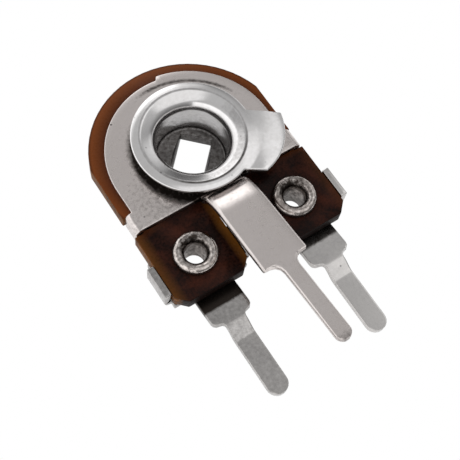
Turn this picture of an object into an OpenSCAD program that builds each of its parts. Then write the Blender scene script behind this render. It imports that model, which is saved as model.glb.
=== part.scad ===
// Open-frame carbon trimmer potentiometer with flat solder pins, in millimetres.
// The origin is on the rotor's axis at the board's front face. +Z points out of the front,
// and the pins point along -Y. Distances "below the axis" are measured along -Y.

/* [Board] */
// Thickness of the board
board_t = 0.7; // [0.6:0.05:1]
// Radius of the round head
head_r = 4.45; // [4.3:0.05:5.2]
// Width across the straight flanks and the lobes
board_w = 8.52; // [8.4:0.02:8.8]
// Lower edge of the lobes, below the axis
board_end = 5.87; // [5.6:0.01:6.4]
// Width of the gap between the lobes
lobe_gap_w = 1.44; // [1.2:0.02:1.6]
// Upper end of that gap, below the axis
lobe_gap_top = 2.5; // [2.3:0.05:3]
// Cut across each lower corner of the lobes
lobe_cut = 0.45; // [0.2:0.05:0.6]
// Depth of the side notches that take the collector's arms
notch_d = 0.42; // [0.4:0.01:0.6]

/* [Resistive track] */
// Thickness of the carbon film
track_t = 0.04; // [0.02:0.01:0.08]
// Radius of the track's middle line
track_r = 3.1; // [3:0.05:3.2]
// Width of the track
track_w = 0.9; // [0.7:0.05:1]
// Width of the tails that lead to the eyelets
tail_w = 0.8; // [0.6:0.05:0.85]
// Angle of each end of the track below the X axis
track_end_angle = 50; // [46:1:56]

/* [Sheet metal] */
// Thickness of the terminals' and the collector's sheet
sheet_t = 0.3; // [0.25:0.01:0.35]
// Thickness of the rotor's sheet
rotor_t = 0.28; // [0.22:0.01:0.32]
// Thickness of the wiper's spring sheet
wiper_t = 0.18; // [0.12:0.01:0.25]
// Inner radius of sharp bends
bend_r = 0.08; // [0.05:0.01:0.12]

/* [Collector plate] */
// Radius of the plate
plate_r = 3.85; // [3.7:0.01:3.9]
// Lower edge of the plate, below the axis
plate_end = 2.3; // [2.2:0.01:2.4]
// Drop of the relieved edge on the upper left
relief_drop = 0.2; // [0.1:0.02:0.3]
// Place of the step where that relief ends
relief_x = 0.45; // [0.3:0.05:0.7]
// Height of the drawn collar above the plate
collar_h = 0.45; // [0.4:0.01:0.5]
// Radius of the fillet at the collar's root
collar_fillet = 0.12; // [0.08:0.01:0.13]
// Width of the arms
arm_w = 0.92; // [0.7:0.02:1.1]
// Length of the arms' hooked ends under the board
hook_l = 0.34; // [0.2:0.02:0.36]

/* [Centre terminal] */
// Width of the raised strip
strip_w = 2.1; // [1.6:0.05:2.2]
// Slope of the riser
riser_slope = 65; // [60:1:70]
// Radius of the bend at the foot of the riser, on its middle line
foot_bend_r = 0.3; // [0.28:0.01:0.32]
// Where the riser bends over into the ramp, below the axis
knee_at = 2.64; // [2.62:0.01:2.7]
// Height of the middle line there, above the board
knee_h = 0.66; // [0.62:0.01:0.68]
// Radius of that bend, on its middle line
knee_bend_r = 0.4; // [0.3:0.05:0.5]
// Slope of the ramp that leads up to the strip
ramp_slope = 30; // [27:1:32]
// Radius of the gentle bend from the ramp to the strip, on its middle line
ramp_bend_r = 2.4; // [1.6:0.1:2.6]
// Slope of the strip and its pin, up towards the tip
strip_slope = 7; // [4:0.5:8]
// Lower end of the strip, below the axis
strip_end = 6.8; // [6.3:0.05:7]
// Width of the pin at its tip
centre_pin_w = 0.72; // [0.6:0.02:0.9]
// Radius where the strip narrows to the pin
centre_fillet = 0.42; // [0.2:0.02:0.5]

/* [Terminals] */
// Distance between the two end pins
pin_pitch = 5; // [4.9:0.01:5.1]
// Distance between the row of end pins and the centre pin, front to back, at the shoulders
row_offset = 2.5; // [2.4:0.02:2.6]
// Tips of the pins, below the axis
pin_end = 10.82; // [10:0.05:12]
// Shoulders that stand on the circuit board, below the axis
shoulder_at = 7.16; // [6.9:0.02:7.6]
// Width of the neck
neck_w = 1.9; // [1.7:0.05:2.1]
// Width of the end pins
end_pin_w = 0.94; // [0.7:0.02:1.1]
// Rounding of the shoulders' corners
shoulder_r = 0.24; // [0.1:0.02:0.3]
// Rise of the neck towards its shoulders
neck_lift = 0.2; // [0.1:0.02:0.24]
// Set of the pin behind the neck
joggle = 0.08; // [0.06:0.01:0.2]
// Upper edge of the base plate, below the axis
base_top = 3.35; // [3.2:0.05:3.5]
// Lower edge of the base plate, below the axis
base_end = 5.52; // [5.4:0.02:5.7]
// Upper end of the ears, below the axis
ear_top = 3.8; // [3.6:0.05:4.2]
// Lower end of the ears, below the axis
ear_end = 5.25; // [5:0.05:5.35]
// Height of the ears above the board's front face
ear_rise = 0.06; // [0:0.02:0.2]

/* [Eyelets] */
// Centres of the eyelets, below the axis
eyelet_at = 4.22; // [4.18:0.02:4.4]
// Radius of the hole through an eyelet
eyelet_bore_r = 0.46; // [0.35:0.01:0.5]
// Wall of the eyelet's barrel
eyelet_wall = 0.14; // [0.1:0.01:0.16]
// Outer radius of the rolled front rim
rim_r = 0.97; // [0.8:0.01:1]
// Height of the rolled front rim's widest point above the board
rim_lift = 0.08; // [0.04:0.01:0.12]
// Radius of the flat head at the back
eyelet_head_r = 0.96; // [0.85:0.01:1.05]
// Height of the flat head at the back
eyelet_head_h = 0.3; // [0.2:0.01:0.4]

/* [Rotor] */
// Inner radius of the cup
cup_r = 1.56; // [1.5:0.01:1.58]
// Depth of the cup's floor behind the board's back face
floor_drop = 0.12; // [0.06:0.01:0.2]
// Radius of the bead's crest
crest_r = 2.27; // [2.2:0.01:2.28]
// Outer radius of the beaded ring
flange_r = 2.65; // [2.58:0.01:2.65]
// Fall of the bead from its crest to the outer edge
flange_fall = 0.04; // [0.03:0.01:0.06]
// Fall of the bead from its crest to the cup's wall
lip_fall = 0.26; // [0.24:0.01:0.28]
// Bend radius of the bead, on its middle line
crest_bend_r = 0.34; // [0.25:0.01:0.4]
// Bend radius of the lip, on its middle line
lip_bend_r = 0.3; // [0.25:0.01:0.34]
// Bend radius of the cup's bottom edge, on its middle line
floor_bend_r = 0.25; // [0.2:0.01:0.3]
// Direction of the stop tab, from +X
tab_angle = -32; // [-34:1:200]
// Width of the stop tab
tab_w = 2.9; // [2.4:0.02:2.9]
// Shift of the stop tab's middle line, across the tab
tab_shift = -0.1; // [-0.12:0.02:0]
// Where the stop tab bends down, from the axis
tab_bend_at = 2.95; // [2.85:0.05:3.2]
// How far the stop tab bends down
tab_bend = 9; // [4:1:12]
// End radius of the stop tab
tab_end_r = 2.76; // [2.6:0.02:2.9]
// Centre of the tab's end arc, along the tab
tab_end_along = 1.2; // [1.1:0.02:1.3]
// Centre of the tab's end arc, across the tab
tab_end_across = 0.46; // [0:0.02:0.6]
// Width of the tool hole
tool_w = 1.4; // [1.2:0.02:1.5]
// Length of the tool hole
tool_l = 2.24; // [1.8:0.02:2.36]
// Direction of the tool hole's length, from +X
tool_angle = 45.5; // [30:0.5:60]
// Wall of the turned-out collar round the tool hole
turnout_t = 0.14; // [0.1:0.01:0.16]
// Height of the turned-out collar behind the wiper
stake_h = 0.06; // [0.04:0.01:0.12]

/* [Wiper spring] */
// Radius of the wiper's disc
wiper_r = 2.15; // [2:0.05:2.3]
// Width of the wiper's arm
wiper_arm_w = 1.1; // [0.8:0.05:1.2]
// Radius of the contact dimple
dimple_r = 0.3; // [0.25:0.01:0.34]
// Height of the contact dimple above the arm
dimple_h = 0.12; // [0.1:0.01:0.16]

/* [Clearances] */
// Running gap of the rotor's cup in the board
running_gap = 0.05; // [0.03:0.01:0.09]
// Gap of the rotor's cup in the collector's collar
collar_gap = 0.08; // [0.05:0.01:0.1]
// Gap between the rotor's lip and the collar it rides on
seat_gap = 0.04; // [0.02:0.01:0.06]
// Gap between the contact dimple and the track
contact_gap = 0.03; // [0.02:0.01:0.06]
// Gap between folded sheet and the board's edges
fold_gap = 0.02; // [0.01:0.005:0.03]
// Gap round the eyelets' barrels
eyelet_gap = 0.02; // [0.01:0.005:0.03]

/* [Hidden] */
$fn = 72;
// Angle of one step along a rounded bend
arc_step = 7.5;
// Reach of shapes that only cut or trim another
reach = 20;
overcut = 1;

pin_x = pin_pitch / 2;
back_z = -board_t;
// Middle of the sheet where the end terminals lie on the track's tails
base_mid_z = back_z - track_t - sheet_t / 2;
base_back_z = base_mid_z - sheet_t / 2;
end_pin_z = base_mid_z - joggle;
plate_mid_z = sheet_t / 2;
sharp_bend = bend_r + sheet_t / 2;

hub_r = cup_r + rotor_t;
cup_mid_r = cup_r + rotor_t / 2;
collar_r = hub_r + collar_gap;
collar_wall = sheet_t * 0.8;

// The lip's underside, an arc, rides on the collar's inner edge
lip_centre_r = cup_mid_r + lip_bend_r;
lip_under_r = lip_bend_r - rotor_t / 2;
lip_centre_z = sheet_t + collar_h + seat_gap - sqrt(pow(lip_under_r, 2) - pow(lip_centre_r - collar_r, 2));
lip_slope = atan(lip_fall / (crest_r - cup_mid_r));
lip_z = lip_centre_z + lip_bend_r * tan(45 - lip_slope / 2);
crest_z = lip_z + lip_fall;
floor_z = back_z - floor_drop - rotor_t / 2;
// The tab leaves the bead a little below its crest
tab_z = crest_z - crest_bend_r * 0.3;

wiper_z = floor_z - rotor_t / 2 - wiper_t / 2;
wiper_arm_z = back_z - track_t - contact_gap - dimple_h - wiper_t / 2;
wiper_bend_r = wiper_t * 2;
wiper_slope = atan((wiper_arm_z - wiper_z) / (track_r - wiper_r));
wiper_end = track_r + wiper_arm_w / 2;

function heading(a, b) = atan2(b[1] - a[1], b[0] - a[0]);
function wrapped(a) = a > 180 ? a - 360 : a < -180 ? a + 360 : a;
function turn_at(p, i) = wrapped(heading(p[i], p[i + 1]) - heading(p[i - 1], p[i]));
function along(angle) = [cos(angle), sin(angle)];
function leftwards(angle) = [-sin(angle), cos(angle)];

// Points of an arc about centre c, from one angle through the turn given
function arc(c, r, from, turn) =
    let (steps = ceil(abs(turn) / arc_step))
    [for (k = [0 : steps]) c + r * along(from + turn * k / steps)];

// One bend of a sheet's outline, off pushed to the left of the middle line
function bend_edge(p, r, i, off) =
    let (way = heading(p[i - 1], p[i]), turn = turn_at(p, i), side = sign(turn),
         c = p[i] - r[i] * tan(abs(turn) / 2) * along(way) + side * r[i] * leftwards(way))
    arc(c, r[i] - side * off, way - side * 90, turn);

// One long edge of a sheet's outline, off pushed to the left of the middle line
function sheet_edge(p, r, off) =
    let (last = len(p) - 1)
    [p[0] + off * leftwards(heading(p[0], p[1])),
     for (i = [1 : 1 : last - 1]) each bend_edge(p, r, i, off),
     p[last] + off * leftwards(heading(p[last - 1], p[last]))];

function reversed(list) = [for (i = [len(list) - 1 : -1 : 0]) list[i]];

// Side view of bent sheet: p holds the corners of its middle line, r the bend radius at each corner
module bent_profile(p, r, t) {
    polygon(concat(sheet_edge(p, r, t / 2), reversed(sheet_edge(p, r, -t / 2))));
}

// Sheet with the side view of bent_profile, running along -Y
module sheet_down(p, r, t, w) {
    rotate([90, 0, -90]) linear_extrude(w, center = true) bent_profile(p, r, t);
}

// The same, running outwards from the axis in the direction given
module sheet_out(p, r, t, w, angle) {
    rotate([90, 0, angle]) linear_extrude(w, center = true) bent_profile(p, r, t);
}

// Plan of a terminal: a strip that narrows at its shoulders to a pin with a round tip
module terminal_plan(from, strip, shoulder, pin, tip, corner, fillet) {
    translate([-strip / 2, -shoulder + corner]) square([strip, shoulder - corner - from]);
    translate([-strip / 2 + corner, -shoulder]) square([strip - 2 * corner, shoulder - from]);
    for (side = [-1, 1]) {
        translate([side * (strip / 2 - corner), -shoulder + corner]) circle(r = corner);
        difference() {
            translate([side * (pin + fillet) / 2, -shoulder - fillet / 2]) square(fillet, center = true);
            translate([side * (pin / 2 + fillet), -shoulder - fillet]) circle(r = fillet);
        }
    }
    translate([-pin / 2, -tip + pin / 2]) square([pin, tip - pin / 2 - shoulder]);
    translate([0, -tip + pin / 2]) circle(r = pin / 2);
}

module board_plan() {
    difference() {
        union() {
            intersection() {
                circle(r = head_r);
                translate([-board_w / 2, 0]) square([board_w, head_r]);
            }
            translate([-board_w / 2, -board_end]) square([board_w, board_end]);
        }
        for (side = [-1, 1])
            translate([side * board_w / 2, arm_w / 2 - plate_end])
                square([2 * notch_d, arm_w + 2 * fold_gap], center = true);
        translate([-lobe_gap_w / 2, -board_end - overcut])
            square([lobe_gap_w, board_end + overcut - lobe_gap_top]);
        for (x = [-board_w, -lobe_gap_w, lobe_gap_w, board_w])
            translate([x / 2, -board_end]) rotate(45) square(lobe_cut * sqrt(2), center = true);
    }
}

module eyelet_holes(gap) {
    for (side = [-1, 1])
        translate([side * pin_x, -eyelet_at]) circle(r = eyelet_bore_r + eyelet_wall + gap);
}

module base_board() {
    color([0.20, 0.10, 0.07])
        translate([0, 0, back_z]) linear_extrude(board_t) difference() {
            board_plan();
            circle(r = hub_r + running_gap);
            eyelet_holes(eyelet_gap);
        }
}

// Horseshoe ring, open below between its two ends
module track_arc() {
    end = along(-track_end_angle);
    difference() {
        circle(r = track_r + track_w / 2);
        circle(r = track_r - track_w / 2);
        polygon([[0, 0], reach * end, [0, -2 * reach], [-reach * end[0], reach * end[1]]]);
    }
}

// Tail from just inside one end of the horseshoe down to the pad round an eyelet
module track_tail() {
    start = track_r * along(arc_step - track_end_angle);
    eyelet = [pin_x, -eyelet_at];
    translate(start) rotate(heading(start, eyelet)) translate([0, -tail_w / 2])
        square([norm(eyelet - start), tail_w]);
    translate(eyelet) circle(r = eyelet_head_r);
}

module resistive_track() {
    color([0.10, 0.10, 0.11])
        translate([0, 0, back_z - track_t]) linear_extrude(track_t) difference() {
            union() {
                track_arc();
                for (side = [0, 1])
                    mirror([side, 0]) track_tail();
            }
            eyelet_holes(eyelet_gap);
        }
}

module plate_plan() {
    difference() {
        union() {
            difference() {
                circle(r = plate_r);
                difference() {
                    translate([-plate_r, 0]) square([plate_r + relief_x, plate_r]);
                    translate([0, -relief_drop]) circle(r = plate_r);
                }
            }
            translate([-plate_r, -plate_end]) square([2 * plate_r, plate_end]);
        }
        translate([-reach, -plate_end - reach]) square([2 * reach, reach]);
        circle(r = collar_r);
    }
}

// Collar drawn up round the plate's hole, with a fillet at its root
module collar() {
    rotate_extrude() {
        translate([collar_r, 0]) square([collar_wall, sheet_t + collar_h]);
        difference() {
            translate([collar_r + collar_wall, sheet_t]) square(collar_fillet);
            translate([collar_r + collar_wall + collar_fillet, sheet_t + collar_fillet]) circle(r = collar_fillet);
        }
    }
}

// Arm that leaves the plate's flank and hooks round the board through a notch
module hook_arm() {
    edge_x = board_w / 2 - notch_d + fold_gap;
    leg_x = edge_x + sheet_t / 2;
    under_z = back_z - fold_gap - sheet_t / 2;
    path = [[plate_r - sheet_t, plate_mid_z], [leg_x, plate_mid_z], [leg_x, under_z], [edge_x - hook_l, under_z]];
    translate([0, arm_w / 2 - plate_end, 0])
        sheet_out(path, [0, sharp_bend, sharp_bend, 0], sheet_t, arm_w, 0);
}

// Raised centre terminal, from the plate's lower edge over the riser to the pin's tip
module centre_terminal() {
    row_z = end_pin_z + row_offset;
    rise = tan(strip_slope);
    climb = tan(ramp_slope);
    far_end = pin_end + overcut;
    riser_foot = knee_at - (knee_h - plate_mid_z) / tan(riser_slope);
    // The ramp meets the strip where their two middle lines cross
    ramp_top = (row_z - shoulder_at * rise - knee_h + knee_at * climb) / (climb - rise);
    path = [[plate_end - sheet_t, plate_mid_z], [riser_foot, plate_mid_z], [knee_at, knee_h],
            [ramp_top, row_z + (ramp_top - shoulder_at) * rise],
            [far_end, row_z + (far_end - shoulder_at) * rise]];
    intersection() {
        sheet_down(path, [0, foot_bend_r, knee_bend_r, ramp_bend_r, 0], sheet_t, strip_w + overcut);
        linear_extrude(reach) terminal_plan(plate_end - sheet_t, strip_w, strip_end, centre_pin_w, pin_end,
                                            centre_fillet / 4, centre_fillet);
    }
}

module collector_plate() {
    color([0.72, 0.71, 0.70]) union() {
        linear_extrude(sheet_t) plate_plan();
        collar();
        for (side = [0, 1])
            mirror([side, 0, 0]) hook_arm();
        centre_terminal();
    }
}

// Folded ears and the floor between them, seen along the pins
module ear_fold() {
    ear_out = (board_w - lobe_gap_w) / 4 + fold_gap + sheet_t / 2;
    path = [[-ear_out, ear_rise], [-ear_out, base_mid_z], [ear_out, base_mid_z], [ear_out, ear_rise]];
    bent_profile(path, [0, sharp_bend, sharp_bend, 0], sheet_t);
}

// End terminal about its own pin line, before it is placed at its pin
module end_terminal() {
    base_w = (board_w - lobe_gap_w) / 2 + 2 * fold_gap;
    lobe_x = (board_w + lobe_gap_w) / 4 - pin_x;
    // The neck rises once it is clear of the board, and the pin steps back down just past the shoulders
    step_from = shoulder_at + shoulder_r;
    step_run = 2 * (neck_lift + joggle);
    neck = [[base_end - sheet_t, base_mid_z], [board_end - sheet_t / 3, base_mid_z],
            [step_from, base_mid_z + neck_lift], [step_from + step_run, end_pin_z],
            [pin_end + overcut, end_pin_z]];
    difference() {
        union() {
            translate([lobe_x, 0, 0]) {
                translate([0, -ear_top, 0]) rotate([90, 0, 0]) linear_extrude(ear_end - ear_top) ear_fold();
                translate([-base_w / 2, -base_end, base_back_z]) cube([base_w, base_end - base_top, sheet_t]);
            }
            intersection() {
                sheet_down(neck, [0, sheet_t, sheet_t, sheet_t, 0], sheet_t, neck_w + overcut);
                translate([0, 0, -reach]) linear_extrude(reach)
                    terminal_plan(base_end - sheet_t, neck_w, shoulder_at, end_pin_w, pin_end,
                                  shoulder_r, shoulder_r);
            }
        }
        translate([0, -eyelet_at, -reach / 2]) cylinder(r = eyelet_bore_r + eyelet_wall + eyelet_gap, h = reach);
    }
}

module end_terminal_right() {
    color([0.74, 0.73, 0.72]) translate([pin_x, 0, 0]) end_terminal();
}

module end_terminal_left() {
    color([0.74, 0.73, 0.72]) mirror([1, 0, 0]) translate([pin_x, 0, 0]) end_terminal();
}

// Hollow eyelet: rolled rim at the front, flat rounded head at the back
module eyelet() {
    barrel_r = eyelet_bore_r + eyelet_wall;
    roll_r = (rim_r - eyelet_bore_r) / 2;
    edge_r = eyelet_head_h / 3;
    rotate_extrude() {
        intersection() {
            translate([eyelet_bore_r + roll_r, rim_lift]) circle(r = roll_r);
            square(reach);
        }
        translate([eyelet_bore_r, base_back_z]) square([eyelet_wall, rim_lift - base_back_z]);
        translate([eyelet_bore_r, base_back_z - eyelet_head_h]) {
            square([eyelet_head_r - edge_r - eyelet_bore_r, eyelet_head_h]);
            translate([0, edge_r]) square([eyelet_head_r - eyelet_bore_r, eyelet_head_h - edge_r]);
            translate([eyelet_head_r - edge_r - eyelet_bore_r, edge_r]) circle(r = edge_r);
        }
    }
}

module eyelet_left() {
    color([0.70, 0.67, 0.66]) translate([-pin_x, -eyelet_at, 0]) eyelet();
}

module eyelet_right() {
    color([0.70, 0.67, 0.66]) translate([pin_x, -eyelet_at, 0]) eyelet();
}

// Beaded ring, lip, cup wall and floor as one drawn section
module drawn_cup() {
    // The outer edge is cut square to the sheet, so its upper corner reaches flange_r
    flange_slope = atan(flange_fall / (flange_r - crest_r));
    path = [[flange_r - rotor_t / 2 * sin(flange_slope), crest_z - flange_fall], [crest_r, crest_z],
            [cup_mid_r, lip_z], [cup_mid_r, floor_z], [0, floor_z]];
    radii = [0, crest_bend_r, lip_bend_r, floor_bend_r, 0];
    rotate_extrude() bent_profile(path, radii, rotor_t);
}

module tab_plan() {
    difference() {
        intersection() {
            translate([0, tab_shift - tab_w / 2]) square([reach, tab_w]);
            translate([tab_end_along, tab_end_across]) circle(r = tab_end_r);
        }
        circle(r = crest_r);
    }
}

// Stop tab, level at the bead and bent down towards its end
module stop_tab() {
    path = [[0, tab_z], [tab_bend_at, tab_z], [reach, tab_z - (reach - tab_bend_at) * tan(tab_bend)]];
    intersection() {
        sheet_out(path, [0, 2 * rotor_t, 0], rotor_t, tab_w + overcut, tab_angle);
        rotate(tab_angle) linear_extrude(reach) tab_plan();
    }
}

module rotor() {
    turnout_h = wiper_t + stake_h + rotor_t / 2;
    color([0.76, 0.76, 0.77]) difference() {
        union() {
            drawn_cup();
            stop_tab();
            rotate(tool_angle) translate([0, 0, floor_z - rotor_t / 2 - wiper_t - stake_h + turnout_h / 2])
                cube([tool_l + 2 * turnout_t, tool_w + 2 * turnout_t, turnout_h], center = true);
        }
        rotate(tool_angle) translate([0, 0, floor_z]) cube([tool_l, tool_w, 2 * overcut], center = true);
    }
}

module wiper_plan() {
    circle(r = wiper_r);
    translate([0, -wiper_arm_w / 2]) square([track_r, wiper_arm_w]);
    translate([track_r, 0]) circle(r = wiper_arm_w / 2);
}

module wiper_spring() {
    path = [[-wiper_r - overcut, wiper_z], [wiper_r, wiper_z], [track_r, wiper_arm_z],
            [wiper_end + overcut, wiper_arm_z]];
    radii = [0, wiper_bend_r, wiper_bend_r, 0];
    ball_r = (pow(dimple_r, 2) + pow(dimple_h, 2)) / (2 * dimple_h);
    color([0.78, 0.74, 0.62]) difference() {
        union() {
            intersection() {
                sheet_out(path, radii, wiper_t, 2 * wiper_r + overcut, tab_angle);
                rotate(tab_angle) translate([0, 0, -reach]) linear_extrude(reach) wiper_plan();
            }
            rotate(tab_angle) translate([track_r, 0, wiper_arm_z + wiper_t / 2]) intersection() {
                translate([0, 0, dimple_h - ball_r]) sphere(r = ball_r);
                translate([0, 0, -wiper_t / 2]) cylinder(r = dimple_r, h = dimple_h + wiper_t);
            }
        }
        rotate(tool_angle) translate([0, 0, wiper_z])
            cube([tool_l + 2 * turnout_t, tool_w + 2 * turnout_t, overcut], center = true);
    }
}

base_board();
resistive_track();
collector_plate();
end_terminal_left();
end_terminal_right();
eyelet_left();
eyelet_right();
rotor();
wiper_spring();
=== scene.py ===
import math

import bpy
from mathutils import Matrix, Vector


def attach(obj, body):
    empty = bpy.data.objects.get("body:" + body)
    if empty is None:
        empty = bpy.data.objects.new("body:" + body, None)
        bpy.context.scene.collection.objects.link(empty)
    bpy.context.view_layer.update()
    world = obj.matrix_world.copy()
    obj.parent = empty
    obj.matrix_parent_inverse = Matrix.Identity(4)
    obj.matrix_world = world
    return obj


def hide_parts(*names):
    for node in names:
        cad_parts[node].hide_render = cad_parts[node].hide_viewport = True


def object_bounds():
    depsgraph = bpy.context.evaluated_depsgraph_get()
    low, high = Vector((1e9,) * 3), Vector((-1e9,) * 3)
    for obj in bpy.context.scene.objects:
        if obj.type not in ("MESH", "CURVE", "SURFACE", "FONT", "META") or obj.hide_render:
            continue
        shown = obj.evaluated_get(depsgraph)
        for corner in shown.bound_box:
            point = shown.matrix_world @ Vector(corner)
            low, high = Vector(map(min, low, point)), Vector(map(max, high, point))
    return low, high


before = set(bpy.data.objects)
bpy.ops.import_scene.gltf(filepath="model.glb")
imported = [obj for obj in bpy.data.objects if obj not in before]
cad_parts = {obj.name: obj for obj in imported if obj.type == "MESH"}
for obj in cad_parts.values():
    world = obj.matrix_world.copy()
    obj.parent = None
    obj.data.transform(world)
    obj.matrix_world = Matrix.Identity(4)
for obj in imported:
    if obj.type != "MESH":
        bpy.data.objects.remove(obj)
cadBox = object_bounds()
mm = 0.001
weldGap = 0.0005              # mm, points closer than this are one point
near = 0.002                  # mm, for finding points that were put in a known place
slack = 0.01                  # mm, for finding points between two places
sharpFold = 50                # degrees, edges folded by more than this are rounded
tiny = 1e-6                   # less than this counts as nothing
eyeletPlace = (2.5, -4.22)    # mm, of the right eyelet; the left one is its mirror image
print("frame loaded:", ", ".join(sorted(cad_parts)))


# small helpers, used the way the buttons are used by hand

def pickNothing():
    if bpy.context.mode != "OBJECT":
        bpy.ops.object.mode_set(mode="OBJECT")
    bpy.ops.object.select_all(action="DESELECT")


def pick(piece):
    pickNothing()
    piece.select_set(True)
    bpy.context.view_layer.objects.active = piece


def editAll(piece):
    pick(piece)
    bpy.ops.object.mode_set(mode="EDIT")
    bpy.ops.mesh.select_all(action="SELECT")


def finishMesh(piece, smoothAngle=32):
    pick(piece)
    bpy.ops.object.shade_smooth_by_angle(angle=math.radians(smoothAngle))


def applyModifier(piece, kind, **settings):
    pick(piece)
    modifier = piece.modifiers.new(kind.lower(), kind)
    for name, value in settings.items():
        setattr(modifier, name, value)
    bpy.ops.object.modifier_apply(modifier=modifier.name)


def along(angle, radius=1.0):
    return Vector((radius * math.cos(angle), radius * math.sin(angle)))


def within(value, low, high):
    return low - slack < value < high + slack


# camera, set from the photograph's own perspective

cameraSettings = {
    "place": (-11.643, -15.477, 34.108),   # mm
    "right": (0.8319, -0.5486, 0.0835),
    "down": (-0.4724, -0.7791, -0.4121),
    "lens": 70.55,                         # mm
    "sensor": 36,                          # mm
    "clip": (0.001, 10),                   # m
}


def makeCamera(s):
    right = Vector(s["right"]).normalized()
    up = -Vector(s["down"])
    up = (up - right * up.dot(right)).normalized()
    back = right.cross(up)
    turn = Matrix((right, up, back)).transposed().to_4x4()
    turn.translation = Vector(s["place"]) * mm
    pickNothing()
    bpy.ops.object.camera_add()
    camera = bpy.context.object
    camera.name = "photoCamera"
    camera.matrix_world = turn
    camera.data.sensor_width = s["sensor"]
    camera.data.lens = s["lens"]
    camera.data.clip_start, camera.data.clip_end = s["clip"]
    bpy.context.scene.camera = camera


makeCamera(cameraSettings)
print("camera placed")


# shader helpers

def newMaterial(name):
    material = bpy.data.materials.new(name)
    material.use_nodes = True
    material.node_tree.nodes.clear()
    return material, material.node_tree


def addNode(tree, kind, **settings):
    node = tree.nodes.new(kind)
    for name, value in settings.items():
        if name in node.inputs:
            node.inputs[name].default_value = value
        else:
            setattr(node, name, value)
    return node


def newGroup(name, inputs, outputs):
    tree = bpy.data.node_groups.new(name, "ShaderNodeTree")
    for label, kind, value in inputs:
        socket = tree.interface.new_socket(label, in_out="INPUT", socket_type=kind)
        socket.default_value = value
    for label, kind in outputs:
        tree.interface.new_socket(label, in_out="OUTPUT", socket_type=kind)
    return tree, tree.nodes.new("NodeGroupInput"), tree.nodes.new("NodeGroupOutput")


def feed(tree, node, slots):
    # each numbered input gets a plain value or a link
    for slot, value in slots:
        if isinstance(value, (int, float, tuple)):
            node.inputs[slot].default_value = value
        else:
            tree.links.new(value, node.inputs[slot])


def mathNode(tree, operation, *values):
    node = tree.nodes.new("ShaderNodeMath")
    node.operation = operation
    feed(tree, node, enumerate(values))
    return node.outputs[0]


def times(tree, a, b):
    return mathNode(tree, "MULTIPLY", a, b)


def plus(tree, a, b):
    return mathNode(tree, "ADD", a, b)


def minus(tree, a, b):
    return mathNode(tree, "SUBTRACT", a, b)


def larger(tree, a, b):
    return mathNode(tree, "MAXIMUM", a, b)


def sumOf(tree, first, *others):
    # values added up, each of them times its own weight
    total = times(tree, *first)
    for pair in others:
        total = plus(tree, total, times(tree, *pair))
    return total


def mixColour(tree, factor, a, b):
    node = tree.nodes.new("ShaderNodeMix")
    node.data_type = "RGBA"
    feed(tree, node, ((0, factor), (6, a), (7, b)))
    return node.outputs[2]


def spread(tree, value, low, high, toLow=0.0, toHigh=1.0):
    node = tree.nodes.new("ShaderNodeMapRange")
    node.clamp = True
    feed(tree, node, enumerate((value, low, high, toLow, toHigh)))
    return node.outputs[0]


def fade(tree, place, span, amounts=(0.0, 1.0)):
    # the same for a place on the part, over a span in mm
    return spread(tree, place, span[0] * mm, span[1] * mm, *amounts)


def noiseNode(tree, vector, size, detail=2.0, roughness=0.5, distortion=0.0):
    node = addNode(tree, "ShaderNodeTexNoise", Scale=1 / (size * mm), Detail=detail, Roughness=roughness,
                   Distortion=distortion)
    tree.links.new(vector, node.inputs["Vector"])
    return node.outputs["Fac"]


def objectPlace(tree):
    return addNode(tree, "ShaderNodeTexCoord").outputs["Object"]


def placeParts(tree, vector):
    split = addNode(tree, "ShaderNodeSeparateXYZ")
    tree.links.new(vector, split.inputs[0])
    return split.outputs[0], split.outputs[1], split.outputs[2]


def distanceFrom(tree, x, y):
    return mathNode(tree, "SQRT", plus(tree, times(tree, x, x), times(tree, y, y)))


def ringMask(tree, radius, middle, half):
    # full at this radius, and gone over the ends of its half width
    away = mathNode(tree, "ABSOLUTE", minus(tree, radius, middle * mm))
    return fade(tree, away, half, (1.0, 0.0))


def addRelief(tree, shader, height, strength, depth):
    relief = addNode(tree, "ShaderNodeBump", Strength=strength, Distance=depth * mm)
    tree.links.new(height, relief.inputs["Height"])
    tree.links.new(relief.outputs["Normal"], shader.inputs["Normal"])


def addOutput(tree, shader):
    output = addNode(tree, "ShaderNodeOutputMaterial")
    tree.links.new(shader.outputs[0], output.inputs[0])


# shared finish: plated sheet with cloudy patches, fine grain, a few pits, and a dark tone where a mask asks
# for it, which is real dirt in some places and painted shade in others

plateSettings = {
    "cloud": 1.6,                  # sizes of the patterns, in mm
    "mottle": 0.16,
    "grain": 0.035,
    "pitCell": 0.55,
    "pitField": 0.9,
    "patchSpan": (0.36, 0.64),     # where the light tone turns into the dull one
    "pitSpan": (0.05, 0.11),
    "fieldSpan": (0.5, 0.56),
    "pitColour": (0.05, 0.045, 0.05, 1),
    "dirtAndShadeSpan": (0.12, 0.95),
    "dirtAndShadeColour": (0.035, 0.028, 0.024, 1),
    "dirtAndShadeRough": 0.15,             # the dirt and painted shade add this much roughness
    "reliefDepth": 0.02,           # mm
}


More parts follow.
